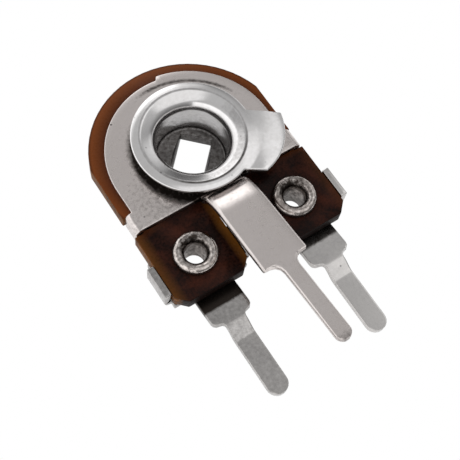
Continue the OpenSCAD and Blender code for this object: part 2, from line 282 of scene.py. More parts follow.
def makePlateGroup(s):
    tree, inside, outside = newGroup("platedSheet", [
        ("Vector", "NodeSocketVector", (0, 0, 0)),
        ("Light", "NodeSocketColor", (0.7, 0.7, 0.7, 1)),
        ("Dull", "NodeSocketColor", (0.5, 0.5, 0.5, 1)),
        ("Rough Low", "NodeSocketFloat", 0.2),
        ("Rough High", "NodeSocketFloat", 0.4),
        ("Pits", "NodeSocketFloat", 1.0),
        ("Dirt And Shade", "NodeSocketFloat", 0.0),
        ("Ragged", "NodeSocketFloat", 1.0),
    ], [("Color", "NodeSocketColor"), ("Roughness", "NodeSocketFloat"), ("Height", "NodeSocketFloat")])
    given = inside.outputs
    vector = given["Vector"]
    cloud = noiseNode(tree, vector, s["cloud"], 3, 0.55)
    mottle = noiseNode(tree, vector, s["mottle"], 3, 0.6)
    grain = noiseNode(tree, vector, s["grain"], 2, 0.5)
    patch = spread(tree, sumOf(tree, (cloud, 0.6), (mottle, 0.4)), *s["patchSpan"])
    # pits are the small cells of a coarse pattern, kept only where a wider noise is high
    cells = addNode(tree, "ShaderNodeTexVoronoi", Scale=1 / (s["pitCell"] * mm))
    tree.links.new(vector, cells.inputs["Vector"])
    dot = spread(tree, cells.outputs["Distance"], *s["pitSpan"], 1, 0)
    here = spread(tree, noiseNode(tree, vector, s["pitField"], 1), *s["fieldSpan"])
    pit = times(tree, times(tree, dot, here), given["Pits"])
    # the dirt and painted shade are broken up by the mottle, so that their border is ragged
    border = times(tree, minus(tree, mottle, 0.5), given["Ragged"])
    dirtAndShade = spread(tree, plus(tree, given["Dirt And Shade"], border), *s["dirtAndShadeSpan"])
    tone = mixColour(tree, patch, given["Light"], given["Dull"])
    tone = mixColour(tree, dirtAndShade, tone, s["dirtAndShadeColour"])
    tree.links.new(mixColour(tree, pit, tone, s["pitColour"]), outside.inputs["Color"])
    rough = tree.nodes.new("ShaderNodeMix")
    feed(tree, rough, ((0, patch), (2, given["Rough Low"]), (3, given["Rough High"])))
    dulled = plus(tree, rough.outputs[0], times(tree, dirtAndShade, s["dirtAndShadeRough"]))
    tree.links.new(dulled, outside.inputs["Roughness"])
    height = sumOf(tree, (cloud, 0.8), (grain, 0.12), (mottle, 0.3), (pit, -0.6))
    tree.links.new(height, outside.inputs["Height"])
    return tree


plateGroup = makePlateGroup(plateSettings)


# masks for dirt and for painted shade: spans are in mm along a radius, a height or the part's length, amounts
# go from 0 to 1

collectorSpecksAndShade = {
    "gap": (2.60, 2.90),           # painted shade in the narrow gap under the rotor's flange
    "specks": (2.9, 4.0),          # speckled further out on the plate's lower side
    "speckAmounts": (0.36, 0.16),
    "speckSide": (-1.9, 0.4),
    "lineWay": (0.44, 0.90),       # a dark line lies behind the rotor, on this side of it
    "lineReach": (2.45, 2.95),
    "lineAmount": 0.76,
    "lineRadius": 3.33,
    "lineHalf": (0.03, 0.13),
    "plateTop": (0.31, 0.36),      # all this is on the flat plate only
    "tip": (-10.82, -10.4),        # painted shade at the pin's tip
    "tipAmount": 0.6,
}


def collectorSpecksAndShadeMask(tree, vector):
    s = collectorSpecksAndShade
    x, y, z = placeParts(tree, vector)
    radius = distanceFrom(tree, x, y)
    # painted shade under the rotor's flange and at the pin's tip; the specks are dirt
    gap = fade(tree, radius, s["gap"], (1.0, 0.0))
    specks = times(tree, fade(tree, radius, s["specks"], s["speckAmounts"]),
                   fade(tree, y, s["speckSide"], (1.0, 0.0)))
    back = sumOf(tree, (x, s["lineWay"][0]), (y, s["lineWay"][1]))
    line = times(tree, fade(tree, back, s["lineReach"], (0.0, s["lineAmount"])),
                 ringMask(tree, radius, s["lineRadius"], s["lineHalf"]))
    dirty = larger(tree, larger(tree, gap, specks), line)
    onPlate = fade(tree, z, s["plateTop"], (1.0, 0.0))
    tip = fade(tree, y, s["tip"], (s["tipAmount"], 0.0))
    return larger(tree, times(tree, dirty, onPlate), tip)


rotorPaintedShade = {
    "wall": (-0.60, 0.50),         # painted shade: the cup darkens downwards
    "wallAmounts": (0.42, 0.08),
    "floor": (-0.68, -0.38),       # painted shade: its floor is nearly black
    "floorAmount": 0.84,
    "cup": (1.72, 1.84),
    "creaseRadius": 2.27,          # a thin line of painted shade in the crease between the flange and the dish
    "creaseHalf": (0.02, 0.09),
    "creaseSide": (-1.9, -0.6),
    "creaseAmounts": (0.85, 0.35),
    "dishWay": (0.35, -0.94),      # painted shade: the dish is darker on its front side
    "dishReach": (-0.4, 0.8),
    "dishAmount": 0.36,
    "dishInner": (1.84, 1.94),
    "dishOuter": (2.18, 2.26),
    "top": (0.85, 0.95),
}


def rotorPaintedShadeMask(tree, vector):
    s = rotorPaintedShade
    x, y, z = placeParts(tree, vector)
    radius = distanceFrom(tree, x, y)
    # all of this is painted shade: down the cup, in the crease, and on the front of the dish
    wall = fade(tree, z, s["wall"], s["wallAmounts"])
    floor = fade(tree, z, s["floor"], (s["floorAmount"], 0.0))
    inCup = times(tree, larger(tree, wall, floor), fade(tree, radius, s["cup"], (1.0, 0.0)))
    crease = times(tree, ringMask(tree, radius, s["creaseRadius"], s["creaseHalf"]),
                   fade(tree, y, s["creaseSide"], s["creaseAmounts"]))
    shadedSide = sumOf(tree, (x, s["dishWay"][0]), (y, s["dishWay"][1]))
    inDish = times(tree, fade(tree, radius, s["dishInner"]), fade(tree, radius, s["dishOuter"], (1.0, 0.0)))
    dish = times(tree, fade(tree, shadedSide, s["dishReach"], (0.0, s["dishAmount"])), inDish)
    onTop = times(tree, larger(tree, crease, dish), fade(tree, z, s["top"]))
    return larger(tree, inCup, onTop)


eyeletShadeAndTone = {
    "inner": (0.52, 0.84),         # the rolled rim is darker inside, less so outwards
    "innerAmounts": (0.70, 0.24),
    "farSide": (0.05, 0.6),        # painted shade adds to it on the side towards the rotor
    "farAmount": 0.34,
    "farEnd": (0.76, 0.86),
    "outer": (0.86, 0.96),         # and there is some round its outer edge
    "outerAmount": 0.6,
    "bore": (0.465, 0.50),         # the bore is a little lighter
    "boreShare": 0.62,
}


def eyeletShadeAndToneMask(tree, vector):
    s = eyeletShadeAndTone
    x, y, _ = placeParts(tree, vector)
    sideways = minus(tree, mathNode(tree, "ABSOLUTE", x), eyeletPlace[0] * mm)
    forward = minus(tree, y, eyeletPlace[1] * mm)
    radius = distanceFrom(tree, sideways, forward)
    # painted shade on the side towards the rotor
    far = times(tree, fade(tree, forward, s["farSide"], (0.0, s["farAmount"])),
                fade(tree, radius, s["farEnd"], (1.0, 0.0)))
    inner = plus(tree, far, fade(tree, radius, s["inner"], s["innerAmounts"]))
    rolled = larger(tree, inner, fade(tree, radius, s["outer"], (0.0, s["outerAmount"])))
    return times(tree, rolled, fade(tree, radius, s["bore"], (s["boreShare"], 1.0)))


terminalShadeAndDullness = {
    "middle": (-0.1, 0.1),         # the left terminal lies on one side of this, the right one on the other
    "leftShift": 0.2,              # the painted shade reaches this much further along the left neck
    "neckEnd": (-6.36, -6.22),
    "neckAmounts": (0.05, 0.88),
    "neckStart": (-5.75, -5.6),
    "startAmounts": (1.0, 0.1),
    "dull": (-7.6, -7.3),          # the left terminal is duller than the right one
    "dullAmounts": (0.28, 0.32),
}


def terminalShadeAndDullnessMask(tree, vector):
    s = terminalShadeAndDullness
    x, y, _ = placeParts(tree, vector)
    left = fade(tree, x, s["middle"], (1.0, 0.0))
    shifted = plus(tree, y, times(tree, left, s["leftShift"] * mm))
    # painted shade on the neck next to the board, where it mirrors the board's dark end wall; the left
    # terminal is also duller
    neck = mathNode(tree, "MINIMUM", fade(tree, shifted, s["neckEnd"], s["neckAmounts"]),
                    fade(tree, y, s["neckStart"], s["startAmounts"]))
    return plus(tree, neck, times(tree, left, fade(tree, y, s["dull"], s["dullAmounts"])))


metalSettings = {
    "collector": {"light": (0.67, 0.62, 0.60, 1), "dull": (0.60, 0.552, 0.532, 1), "rough": (0.20, 0.28),
                  "pits": 1.0, "bump": 0.07, "dirtAndShadeMask": collectorSpecksAndShadeMask, "ragged": 1.0},
    "terminal": {"light": (0.62, 0.60, 0.585, 1), "dull": (0.50, 0.485, 0.475, 1), "rough": (0.10, 0.18),
                 "pits": 0.6, "bump": 0.12, "dirtAndShadeMask": terminalShadeAndDullnessMask, "ragged": 0.5},
    "rotor": {"light": (0.76, 0.75, 0.75, 1), "dull": (0.68, 0.665, 0.66, 1), "rough": (0.12, 0.20),
              "pits": 0.7, "bump": 0.14, "dirtAndShadeMask": rotorPaintedShadeMask, "ragged": 0.35},
    "eyelet": {"light": (0.75, 0.70, 0.67, 1), "dull": (0.52, 0.46, 0.425, 1), "rough": (0.10, 0.20),
               "pits": 0.5, "bump": 0.5, "dirtAndShadeMask": eyeletShadeAndToneMask, "ragged": 1.5},
    "spring": {"light": (0.74, 0.64, 0.46, 1), "dull": (0.62, 0.52, 0.36, 1), "rough": (0.22, 0.32),
               "pits": 0.3, "bump": 0.1, "ragged": 1.0},
}


def makePlatedMetal(name, s):
    material, tree = newMaterial(name)
    vector = objectPlace(tree)
    finish = addNode(tree, "ShaderNodeGroup", node_tree=plateGroup, Light=s["light"], Dull=s["dull"],
                     Pits=s["pits"], Ragged=s["ragged"])
    finish.inputs["Rough Low"].default_value, finish.inputs["Rough High"].default_value = s["rough"]
    tree.links.new(vector, finish.inputs["Vector"])
    # each part's mask lays the dark tone on: dirt in some places, painted shade in others
    if "dirtAndShadeMask" in s:
        tree.links.new(s["dirtAndShadeMask"](tree, vector), finish.inputs["Dirt And Shade"])
    shader = addNode(tree, "ShaderNodeBsdfPrincipled", Metallic=1.0)
    tree.links.new(finish.outputs["Color"], shader.inputs["Base Color"])
    tree.links.new(finish.outputs["Roughness"], shader.inputs["Roughness"])
    addRelief(tree, shader, finish.outputs["Height"], s["bump"], plateSettings["reliefDepth"])
    addOutput(tree, shader)
    return material


metals = {key: makePlatedMetal(key + "Plate", values) for key, values in metalSettings.items()}


# board: brown resin-bonded paper, glossy on its faces and fibrous where it was punched

boardSettings = {
    "dark": (0.007, 0.0026, 0.0019, 1),
    "red": (0.052, 0.0135, 0.0068, 1),
    "rim": (0.140, 0.038, 0.009, 1),
    "edgeDark": (0.026, 0.0095, 0.0035, 1),
    "edgeAmber": (0.170, 0.062, 0.009, 1),
    "cloud": 1.9,                  # sizes of the patterns, in mm
    "fibre": 0.12,
    "ply": 0.5,
    "plyStretch": (0.25, 0.25, 6.0),
    "torn": 0.3,
    "headRadius": 4.45,            # outline that the light comes in at, in mm
    "halfWidth": 4.26,
    "halfGap": 0.72,
    "headFrom": (-2.6, -1.9),      # the round head takes over from the lobes along this
    "rimGlow": (0.05, 0.9),        # how far the painted glow comes in from each edge
    "gapGlow": (-0.02, 0.40),
    "gapAmount": 0.75,
    "flankGlow": (-0.02, 0.50),
    "flankAmount": 0.40,
    "uneven": 0.4,
    "middle": (-0.1, 0.1),         # right of this is the right lobe, which gets less of the painted glow
    "rightShare": 0.3,
    "outline": (0.03, 0.13),       # painted shade: the head's very edge is dark again
    "outlineAmount": 0.6,
    "lobeEnd": (-5.7, -5.5),       # painted shade on the lobes' cut ends too
    "faceShine": 0.07,
    "faceRough": (0.22, 0.36),
    "edgeShine": 0.12,
    "edgeRough": 0.5,
}


def makeBoardFace(s):
    # painted light: the thin resin lets light in near its cut edges, so the colour is painted amber there and
    # nearly black inside
    material, tree = newMaterial("resinFace")
    vector = objectPlace(tree)
    cloud = noiseNode(tree, vector, s["cloud"], 3, 0.6, 0.4)
    fibre = noiseNode(tree, vector, s["fibre"], 3, 0.6)
    blend = spread(tree, sumOf(tree, (cloud, 0.75), (fibre, 0.25)), 0.42, 0.68)
    tone = mixColour(tree, blend, s["dark"], s["red"])
    uneven = times(tree, minus(tree, cloud, 0.5), s["uneven"] * mm)
    x, y, _ = placeParts(tree, vector)
    head = minus(tree, s["headRadius"] * mm, distanceFrom(tree, x, y))
    onHead = fade(tree, y, s["headFrom"])
    rim = times(tree, fade(tree, plus(tree, head, uneven), s["rimGlow"], (1, 0)), onHead)
    tone = mixColour(tree, rim, tone, s["rim"])
    side = mathNode(tree, "ABSOLUTE", x)
    gap = plus(tree, minus(tree, side, s["halfGap"] * mm), uneven)
    flank = plus(tree, minus(tree, s["halfWidth"] * mm, side), uneven)
    edge = larger(tree, fade(tree, gap, s["gapGlow"], (s["gapAmount"], 0)),
                  fade(tree, flank, s["flankGlow"], (s["flankAmount"], 0)))
    onLobe = times(tree, minus(tree, 1.0, onHead), fade(tree, x, s["middle"], (1.0, s["rightShare"])))
    tone = mixColour(tree, times(tree, edge, onLobe), tone, s["edgeAmber"])
    # painted shade along the head's very edge
    outline = times(tree, fade(tree, head, s["outline"], (s["outlineAmount"], 0)), onHead)
    shader = addNode(tree, "ShaderNodeBsdfPrincipled")
    shader.inputs["Specular IOR Level"].default_value = s["faceShine"]
    tree.links.new(mixColour(tree, outline, tone, s["dark"]), shader.inputs["Base Color"])
    tree.links.new(spread(tree, fibre, 0.3, 0.7, *s["faceRough"]), shader.inputs["Roughness"])
    addRelief(tree, shader, fibre, 0.25, 0.01)
    addOutput(tree, shader)
    return material


def makeBoardEdge(s):
    material, tree = newMaterial("punchedEdge")
    vector = objectPlace(tree)
    # paper plies show as fine layers through the thickness
    plies = addNode(tree, "ShaderNodeMapping", Scale=s["plyStretch"])
    tree.links.new(vector, plies.inputs["Vector"])
    layers = noiseNode(tree, plies.outputs["Vector"], s["ply"], 3, 0.6)
    torn = noiseNode(tree, vector, s["torn"], 4, 0.65)
    blend = spread(tree, sumOf(tree, (layers, 0.55), (torn, 0.45)), 0.38, 0.62)
    _, y, _ = placeParts(tree, vector)
    tone = mixColour(tree, blend, s["edgeDark"], s["edgeAmber"])
    # painted shade: the lobes' cut ends, which face the front, are dark
    tone = mixColour(tree, fade(tree, y, s["lobeEnd"]), s["dark"], tone)
    shader = addNode(tree, "ShaderNodeBsdfPrincipled", Roughness=s["edgeRough"])
    shader.inputs["Specular IOR Level"].default_value = s["edgeShine"]
    tree.links.new(tone, shader.inputs["Base Color"])
    addRelief(tree, shader, blend, 0.5, 0.02)
    addOutput(tree, shader)
    return material


carbonSettings = {
    "dark": (0.012, 0.012, 0.013, 1),
    "light": (0.03, 0.03, 0.032, 1),
    "speck": 0.08,                 # mm
    "rough": (0.42, 0.6),
}


def makeCarbon(s):
    material, tree = newMaterial("carbonFilm")
    speck = noiseNode(tree, objectPlace(tree), s["speck"], 3, 0.6)
    shader = addNode(tree, "ShaderNodeBsdfPrincipled")
    tree.links.new(mixColour(tree, speck, s["dark"], s["light"]), shader.inputs["Base Color"])
    tree.links.new(spread(tree, speck, 0.3, 0.7, *s["rough"]), shader.inputs["Roughness"])
    addOutput(tree, shader)
    return material


resinFace = makeBoardFace(boardSettings)
punchedEdge = makeBoardEdge(boardSettings)
carbonFilm = makeCarbon(carbonSettings)
print("materials made:", len(bpy.data.materials))


# sheet pieces are drawn as one middle surface, then given their thickness and their broken edges

def spokes(count, special=(), bare=None):
    # even spokes round a ring, with the special ones added and their near neighbours left out;
    # a bare stretch has only special ones
    whole = 2 * math.pi
    special = [angle % whole for angle in special]
    even = [whole * k / count for k in range(count)]
    if bare:
        even = [a for a in even if not bare[0] < a < bare[1]]
    clear = [a for a in even if all(abs((a - s + math.pi) % whole - math.pi) > 2 / count for s in special)]
    return sorted(clear + special)


def startLoop(name, points):
    pickNothing()
    bpy.ops.mesh.primitive_circle_add(vertices=len(points), radius=1, fill_type="NOTHING")
    piece = bpy.context.object
    piece.name = name
    for vertex, point in zip(piece.data.vertices, points):
        vertex.co = Vector(point) * mm
    editAll(piece)
    return piece


def growLoop(piece, newPlace):
    # a new row of faces, each of its points set by the place it starts from
    bpy.ops.mesh.extrude_edges_move()
    bpy.ops.object.mode_set(mode="OBJECT")
    for vertex in piece.data.vertices:
        if vertex.select:
            vertex.co = Vector(newPlace(vertex.co / mm)) * mm
    bpy.ops.object.mode_set(mode="EDIT")


def growRound(piece, section):
    # a row for each point of a section: its radius and its height
    for radius, height in section:
        growLoop(piece, lambda p: (*along(math.atan2(p.y, p.x), radius), height))


def growTowards(piece, inner, edge, rows, centre=Vector((0, 0))):
    # rows from a round edge towards another one: each has its share of the way, and its height
    for share, height in rows:
        def rowPlace(p):
            angle = math.atan2(p.y - centre.y, p.x - centre.x)
            return (*(centre + along(angle, inner) * (1 - share) + edge(angle) * share), height)
        growLoop(piece, rowPlace)


def selectWhere(piece, test):
    pick(piece)
    mesh = piece.data
    for face in mesh.polygons:
        face.select = False
    for vertex in mesh.vertices:
        vertex.select = test(vertex.co / mm)
    for edge in mesh.edges:
        edge.select = all(mesh.vertices[i].select for i in edge.vertices)
    bpy.ops.object.mode_set(mode="EDIT")


def pullEdge(path, halfWidths=None, centre=0.0):
    # drags the selected edges along the path, and spreads them in x where half widths are given
    for step in range(1, len(path)):
        move = (Vector(path[step]) - Vector(path[step - 1])) * mm
        bpy.ops.mesh.extrude_edges_move(TRANSFORM_OT_translate={"value": move})
        if halfWidths and abs(halfWidths[step] - halfWidths[step - 1]) > tiny:
            middle = Vector((centre, path[step][1], path[step][2])) * mm
            share = halfWidths[step] / halfWidths[step - 1]
            bpy.ops.transform.resize(value=(share, 1, 1), center_override=middle)


def bendPath(corners, radii, steps=10):
    # a middle line through its corners, each one rounded to its radius
    points = [Vector(corners[0])]
    for i in range(1, len(corners) - 1):
        here = Vector(corners[i])
        before = (Vector(corners[i - 1]) - here).normalized()
        after = (Vector(corners[i + 1]) - here).normalized()
        opening = before.angle(after)
        reach = radii[i] / math.tan(opening / 2)
        middle = here + (before + after).normalized() * radii[i] / math.sin(opening / 2)
        first = here + before * reach - middle
        last = here + after * reach - middle
        turn = math.pi - opening
        for k in range(steps + 1):
            part = turn * k / steps
            points.append(middle + (first * math.sin(turn - part) + last * math.sin(part)) / math.sin(turn))
    points.append(Vector(corners[-1]))
    return points


def bendSection(corners, radii, steps):
    # the same for a round piece, as radii and heights, without its two ends
    points = bendPath([(radius, height, 0) for radius, height in corners], radii, steps)
    return [(point.x, point.y) for point in points[1:-1]]


def heightAlong(line, distance):
    for a, b in zip(line, line[1:]):
        if -a.y <= distance <= -b.y:
            return a.z + (b.z - a.z) * (distance + a.y) / (a.y - b.y)
    return line[-1].z


def terminalWidth(s, distance):
    # half width of a terminal this far from the axis: strip, rounded shoulder, fillet, pin, round tip
    if distance <= s["shoulder"] - s["corner"]:
        return s["half"]
    if distance <= s["shoulder"]:
        into = distance - s["shoulder"] + s["corner"]
        return s["half"] - s["corner"] + math.sqrt(s["corner"] ** 2 - into ** 2)
    if distance <= s["shoulder"] + s["fillet"]:
        left = s["shoulder"] + s["fillet"] - distance
        return s["pinHalf"] + s["fillet"] - math.sqrt(s["fillet"] ** 2 - left ** 2)
    into = distance - s["tip"] + s["pinHalf"]
    return s["pinHalf"] if into <= 0 else math.sqrt(s["pinHalf"] ** 2 - into ** 2)


def terminalStops(s, start):
    # distances from the axis at which a terminal's width changes
    turn = [math.radians(angle) for angle in (0, 30, 60, 90)]
    tipTurn = [math.radians(angle) for angle in (0, 15, 30, 45, 58, 69, 79)]
    step = 0.006    # past the shoulder, so that no two stops fall together
    straight = s["shoulder"] + s["fillet"] + step
    end = s["tip"] - s["pinHalf"]
    stops = [start + (s["shoulder"] - s["corner"] - start) * k / 4 for k in range(1, 4)]
    stops += [s["shoulder"] - s["corner"] * (1 - math.sin(a)) for a in turn]
    stops += [s["shoulder"] + step + s["fillet"] * (1 - math.cos(a)) for a in turn]
    stops += [straight + (end - straight) * k / 5 for k in range(1, 5)]
    stops += [end + s["pinHalf"] * math.sin(a) for a in tipTurn]
    return stops


def weld(piece):
    editAll(piece)
    bpy.ops.mesh.remove_doubles(threshold=weldGap * mm)


def thicken(piece, thick, edgeRound, share, **settings):
    # the share says, for a place on the edge, how much of the rounding it gets
    weld(piece)
    bpy.ops.mesh.normals_make_consistent(inside=False)
    applyModifier(piece, "SOLIDIFY", thickness=thick * mm, offset=0, **settings)
    # only the sharp edges themselves are picked, not the edges between their ends
    editAll(piece)
    bpy.ops.mesh.select_mode(type="EDGE")
    bpy.ops.mesh.select_all(action="DESELECT")
    bpy.ops.mesh.edges_select_sharp(sharpness=math.radians(sharpFold))
    bpy.ops.object.mode_set(mode="OBJECT")
    bpy.context.tool_settings.mesh_select_mode = (True, False, False)
    mesh = piece.data
    weights = mesh.attributes.new("bevel_weight_edge", "FLOAT", "EDGE")
    for edge in mesh.edges:
        if edge.select:
            start, end = (mesh.vertices[i].co for i in edge.vertices)
            weights.data[edge.index].value = share((start + end) / (2 * mm))
    applyModifier(piece, "BEVEL", width=edgeRound * mm, segments=3, limit_method="WEIGHT",
                  use_clamp_overlap=False)
    finishMesh(piece)


def keepFlats(piece):
    # large faces keep their own direction, and only the roundings are shaded as curved
    applyModifier(piece, "WEIGHTED_NORMAL", keep_sharp=True)


def dress(piece, material, body, node):
    piece.data.materials.clear()
    piece.data.materials.append(material)
    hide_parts(node)
    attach(piece, body)


# board: the CAD solid's own shape, with its punched edges broken

panelSettings = {
    "edgeRound": 0.05,
    "sameFace": 0.5,         # degrees, triangles that differ by less are one face
    "smoothAngle": 40,
    "faceUp": 0.8,           # faces that look up or down more than this are not punched ones
}


def makeBoardPanel(s):
    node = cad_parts["base_board"]
    piece = bpy.data.objects.new("boardPanel", node.data.copy())
    bpy.context.scene.collection.objects.link(piece)
    weld(piece)
    bpy.ops.mesh.customdata_custom_splitnormals_clear()
    bpy.ops.mesh.dissolve_limited(angle_limit=math.radians(s["sameFace"]))
    bpy.ops.mesh.select_all(action="DESELECT")
    bpy.ops.mesh.edges_select_sharp(sharpness=math.radians(sharpFold))
    bpy.ops.mesh.bevel(offset=s["edgeRound"] * mm, segments=2, clamp_overlap=False)
    finishMesh(piece, s["smoothAngle"])
    dress(piece, resinFace, "stator", "base_board")
    piece.data.materials.append(punchedEdge)
    for face in piece.data.polygons:
        face.material_index = 1 if abs(face.normal.z) < s["faceUp"] else 0


makeBoardPanel(panelSettings)
print("board made")


# collector: ring plate with its drawn collar, two hooked arms and the raised centre terminal

collectorSettings = {
    "thick": 0.3,
    "edgeRound": 0.19,       # where the punch drew the strip's upper edges in
    "pinShare": 0.55,        # the pin's upper edges get this much of it
    "edgeShare": 0.24,       # and all the other edges this much
    "tipShare": 0.1,
    "shoulderBefore": 0.12,  # the strip's rounding ends this much before its shoulder
    "shoulderAfter": 0.1,    # and the pin's starts this much after it
    "middle": 0.15,          # height of the sheet's middle
    "spokes": 144,
    "columns": (-0.55, 0, 0.55),    # few run up the strip, so that its edges have room to be rounded
    "collarRadius": 2.06,
    "collarTop": 0.75,
    "collarBend": 0.16,
    "plateRadius": 3.85,
    "plateEnd": 2.3,
    "plateRows": (0.4, 0.8, 1.0),
    "reliefDrop": 0.2,       # the plate's upper left edge stands in by this much
    "reliefFrom": 0.45,
    "reliefStep": 0.015,     # radians to either side of that step
    "armTop": 1.38,
    "armBend": 0.155,
    "legAt": 4.01,
    "hookHeight": -0.87,
    "hookEnd": 3.52,
    "foldBend": 0.23,
    "riserFoot": 2.402,
    "footBend": 0.3,
    "knee": (2.64, 0.66),    # where the riser bends over into the ramp: distance from the axis, height
    "kneeBend": 0.4,
    "rampTop": (3.333, 1.0601),
    "rampBend": 2.4,
    "rise": 0.1228,          # the strip climbs this much for each mm outwards
    "firstRow": 0.02,        # its first row lies at least this far from the plate's edge
}
centreTerminal = {
    "half": 1.05,
    "shoulder": 6.8,         # distance from the axis, as the tip is
    "corner": 0.105,
    "fillet": 0.42,
    "pinHalf": 0.36,
    "tip": 10.82,
}


def plateEdge(s, angle):
    across, up = math.cos(angle), math.sin(angle)
    radius = s["plateRadius"]
    if up < -tiny:
        radius = min(radius / max(abs(across), tiny), s["plateEnd"] / -up)
    elif across * radius < s["reliefFrom"]:
        drop = s["reliefDrop"]
        radius = -drop * up + math.sqrt(radius ** 2 - (drop * across) ** 2)
    return along(angle, radius)


def collectorAngles(s):
    # one spoke at each corner of the plate, and two at the step in its upper edge
    right, low, half = s["plateRadius"], -s["plateEnd"], centreTerminal["half"]
    marks = [(right, low), (right, -s["armTop"]), (half, low)]
    marks += [(-x, y) for x, y in marks]
    marks += [(share * half, low) for share in s["columns"]]
    relief = math.acos(s["reliefFrom"] / right)
    special = [math.atan2(y, x) for x, y in marks]
    special += [relief - s["reliefStep"], relief + s["reliefStep"]]
    strip = math.atan2(half, -low)
    return spokes(s["spokes"], special, (math.pi * 1.5 - strip, math.pi * 1.5 + strip))


def pullArms(piece, s):
    right, leg, middle, hook = s["plateRadius"], s["legAt"], s["middle"], s["hookHeight"]
    low, top = -s["plateEnd"], -s["armTop"]
    for side in (-1, 1):
        selectWhere(piece, lambda p: abs(p.x * side - right) < near and within(p.y, low, top))
        corners = [(side * right, 0, middle), (side * leg, 0, middle), (side * leg, 0, hook),
                   (side * s["hookEnd"], 0, hook)]
        pullEdge(bendPath(corners, [0, s["armBend"], s["foldBend"], 0]))


def stripLine(s):
    # middle line of the centre terminal, from the plate's edge to the pin's tip
    low, tip, middle = -s["plateEnd"], centreTerminal["tip"], s["middle"]
    kneeAt, kneeHeight = s["knee"]
    topAt, topHeight = s["rampTop"]
    corners = [(0, low + s["thick"], middle), (0, -s["riserFoot"], middle), (0, -kneeAt, kneeHeight),
               (0, -topAt, topHeight), (0, -tip, topHeight + (tip - topAt) * s["rise"])]
    line = bendPath(corners, [0, s["footBend"], s["kneeBend"], s["rampBend"], 0], 12)[:-1]
    # the foot's bend starts a little inside the plate's edge, which is where the mesh begins
    path = [Vector((0, low, middle))] + [point for point in line if point.y < low - s["firstRow"]]
    for stop in terminalStops(centreTerminal, -path[-1].y):
        path.append(Vector((0, -stop, topHeight + (stop - topAt) * s["rise"])))
    return path


def collectorShare(s, path, place):
    distance = -place.y
    shoulder = centreTerminal["shoulder"]
    if distance > centreTerminal["tip"] - centreTerminal["pinHalf"]:
        return s["tipShare"]
    if distance < s["riserFoot"] or place.z < heightAlong(path, distance):
        return s["edgeShare"]
    if distance < shoulder - s["shoulderBefore"]:
        return 1.0
    return s["pinShare"] if distance > shoulder + s["shoulderAfter"] else s["edgeShare"]


def makeCollector(s):
    collar, top, middle, half = s["collarRadius"], s["collarTop"], s["middle"], centreTerminal["half"]
    piece = startLoop("collectorSheet", [(*along(a, collar), top) for a in collectorAngles(s)])
    section = bendSection([(collar, top), (collar, middle), (s["plateRadius"], middle)],
                          [0, s["collarBend"], 0], 7)
    growRound(piece, section)
    rows = [(share, middle) for share in s["plateRows"]]
    growTowards(piece, section[-1][0], lambda angle: plateEdge(s, angle), rows)
    pullArms(piece, s)
    path = stripLine(s)
    selectWhere(piece, lambda p: abs(p.y + s["plateEnd"]) < near and within(p.x, -half, half))
    pullEdge(path, [terminalWidth(centreTerminal, -point.y) for point in path])
    thicken(piece, s["thick"], s["edgeRound"], lambda place: collectorShare(s, path, place))
    keepFlats(piece)
    dress(piece, metals["collector"], "stator", "collector_plate")


makeCollector(collectorSettings)
print("collector made")


# end terminals: base plate behind the lobe, two ears folded up beside it, neck and pin

endSettings = {
    "thick": 0.3,
    "edgeRound": 0.04,
    "tipShare": 0.4,         # the round tip has less room for a rounded edge
    "spokes": 56,
    "hole": 0.62,
    "lobeMiddle": 2.49,
    "baseHalf": 1.79,
    "baseTop": -3.35,
    "baseEnd": -5.52,
    "baseRows": (0.5, 1.0),
    "earTop": -3.8,
    "earEnd": -5.25,
    "earAt": 1.94,           # from the lobe's middle line
    "earBend": 0.145,
    "earRise": 0.06,
    "middle": -0.89,         # height of the base plate's middle
    "riseFrom": 5.77,
    "neckLift": 0.2,         # the neck climbs by this much up to its shoulders
    "stepFrom": 7.4,
    "stepEnd": 7.96,
    "neckBend": 0.8,
    "pinHeight": -0.97,
    "rowGap": 0.012,         # rows closer than this are left out
}
endTerminal = {
    "half": 0.95,
    "shoulder": 7.16,        # distance from the axis, as the tip is
    "corner": 0.24,
    "fillet": 0.24,
    "pinHalf": 0.47,
    "tip": 10.82,
}


def makeEndBase(s):
    eyelet = Vector(eyeletPlace)
    left = s["lobeMiddle"] - s["baseHalf"] - eyelet.x
    right = s["lobeMiddle"] + s["baseHalf"] - eyelet.x
    low, earEnd, earTop, top = (s[key] - eyelet.y for key in ("baseEnd", "earEnd", "earTop", "baseTop"))

    def baseEdge(angle):
        across, up = math.cos(angle), math.sin(angle)
        sideways = abs(right if across > 0 else left) / max(abs(across), tiny)
        upwards = abs(top if up > 0 else low) / max(abs(up), tiny)
        return along(angle, min(sideways, upwards))

    marks = [(x, y) for x in (left, right) for y in (low, earEnd, earTop, top)]
    marks += [(side * endTerminal["half"], low) for side in (-1, 1)]
    angles = spokes(s["spokes"], [math.atan2(y, x) for x, y in marks])
    piece = startLoop("endTerminalRight", [(*(eyelet + along(a, s["hole"])), s["middle"]) for a in angles])
    growTowards(piece, s["hole"], baseEdge, [(share, s["middle"]) for share in s["baseRows"]], eyelet)
    return piece


def pullEars(piece, s):
    for side in (-1, 1):
        start = s["lobeMiddle"] + side * s["baseHalf"]
        ear = s["lobeMiddle"] + side * s["earAt"]
        selectWhere(piece, lambda p: abs(p.x - start) < near and within(p.y, s["earEnd"], s["earTop"]))
        pullEdge(bendPath([(start, 0, s["middle"]), (ear, 0, s["middle"]), (ear, 0, s["earRise"])],
                          [0, s["earBend"], 0]))


